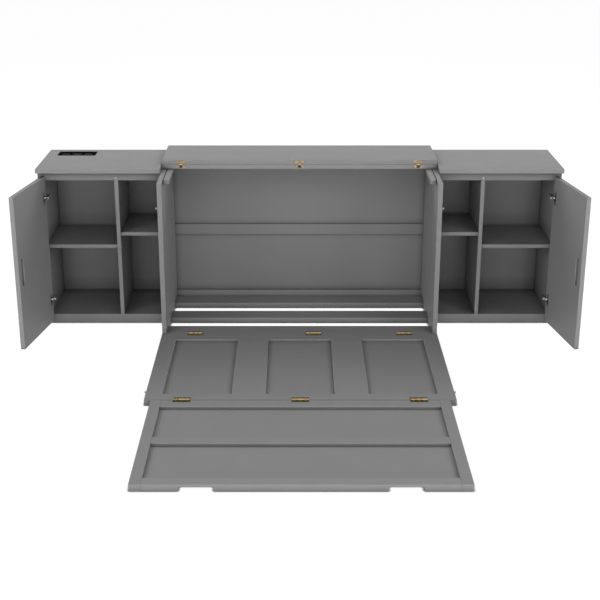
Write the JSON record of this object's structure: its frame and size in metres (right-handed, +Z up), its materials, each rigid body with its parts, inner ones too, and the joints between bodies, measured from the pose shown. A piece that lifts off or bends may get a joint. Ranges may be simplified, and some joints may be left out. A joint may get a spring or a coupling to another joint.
{
  "type": "murphy wall bed",
  "caption": "Low cabinet bed that unfolds from its front onto the floor, with a folding lid and doored side cabinets that have open shelves and a charging unit.",
  "frame": {"origin": "middle of the footprint on the floor, with the bed unfolded and the doors open", "axes": "+X to the right along the row of cabinets, +Y to the wall at the back, +Z up"},
  "size_m": [3.2094, 2.503, 1.0034],
  "materials": {
    "grey_paint": "satin grey paint on board",
    "brass": "brushed",
    "hinge_steel": "nickel plated",
    "pin_steel": "zinc plated",
    "unit_black": "matte black",
    "unit_insert": "satin black"
  },
  "bodies": {
    "cabinet": {"back_low_rail": "grey_paint", "back_mid_rail": "grey_paint", "bed_back_panel": "grey_paint", "bed_hinge_fixed_leaves": "brass", "bed_hinge_pins": "brass", "bed_side_left": "grey_paint", "bed_side_right": "grey_paint", "charging_housing": "unit_black", "charging_inserts": "unit_insert", "deck_slats": "grey_paint", "door_catches": "pin_steel", "door_hinge_arms": "hinge_steel", "fixed_top": "grey_paint", "left_back": "grey_paint", "left_bottom": "grey_paint", "left_divider": "grey_paint", "left_front_rails": "grey_paint", "left_inner_side": "grey_paint", "left_narrow_shelf": "grey_paint", "left_outer_side": "grey_paint", "left_top": "grey_paint", "left_wide_shelf": "grey_paint", "lid_cleats": "grey_paint", "lid_hinge_fixed_leaves": "brass", "lid_hinge_pins": "brass", "right_back": "grey_paint", "right_bottom": "grey_paint", "right_divider": "grey_paint", "right_front_rails": "grey_paint", "right_inner_side": "grey_paint", "right_narrow_shelf": "grey_paint", "right_outer_side": "grey_paint", "right_top": "grey_paint", "right_wide_shelf": "grey_paint", "shelf_pegs": "pin_steel", "side_latch_pins": "pin_steel", "slat_bearers": "grey_paint", "threshold_board": "grey_paint"},
    "bed_panel": {"bed_stiles": "grey_paint", "bed_muntins": "grey_paint", "bed_rails": "grey_paint", "bed_infills": "grey_paint", "bed_latch_pins": "pin_steel", "bed_hinge_moving_leaves": "brass", "foot_hinge_fixed_leaves": "brass", "foot_hinge_pins": "brass"},
    "foot_panel": {"foot_stiles": "grey_paint", "foot_rails": "grey_paint", "foot_front_rail": "grey_paint", "foot_infills": "grey_paint", "foot_hinge_moving_leaves": "brass"},
    "lid_flap": {"lid_flap": "grey_paint", "lid_hinge_moving_leaves": "brass"},
    "left_links": {"left_hinge_links": "hinge_steel"},
    "left_door": {"left_door": "grey_paint", "left_hinge_cups": "hinge_steel"},
    "right_links": {"right_hinge_links": "hinge_steel"},
    "right_door": {"right_door": "grey_paint", "right_hinge_cups": "hinge_steel"}
  },
  "joints": [
    {"name": "bed_fold", "type": "hinge", "parent": "cabinet", "child": "bed_panel", "pos_m": [0, 0.535, 0.0365], "axis": [-1, 0, 0], "range_deg": [0, 90]},
    {"name": "foot_fold", "type": "hinge", "parent": "bed_panel", "child": "foot_panel", "pos_m": [0, -0.3715, 0.0365], "axis": [-1, 0, 0], "range_deg": [0, 180]},
    {"name": "lid_fold", "type": "hinge", "parent": "cabinet", "child": "lid_flap", "pos_m": [0, 0.867, 0.9762], "axis": [1, 0, 0], "range_deg": [0, 180]},
    {"name": "left_link_turn", "type": "hinge", "parent": "cabinet", "child": "left_links", "pos_m": [-1.50636, 0.80039, 0.4755], "axis": [0, 0, 1], "range_deg": [-49.38, 0]},
    {"name": "left_door_turn", "type": "hinge", "parent": "left_links", "child": "left_door", "pos_m": [-1.50536, 0.77221, 0.4755], "axis": [0, 0, 1], "range_deg": [0, 149.37]},
    {"name": "right_link_turn", "type": "hinge", "parent": "cabinet", "child": "right_links", "pos_m": [1.50636, 0.80039, 0.4755], "axis": [0, 0, -1], "range_deg": [-49.38, 0]},
    {"name": "right_door_turn", "type": "hinge", "parent": "right_links", "child": "right_door", "pos_m": [1.50536, 0.77221, 0.4755], "axis": [0, 0, -1], "range_deg": [0, 149.37]}
  ],
  "couplings": [
    {"joint": "left_link_turn", "follows": "left_door_turn", "ratio": -0.33052},
    {"joint": "right_link_turn", "follows": "right_door_turn", "ratio": -0.33052}
  ]
}
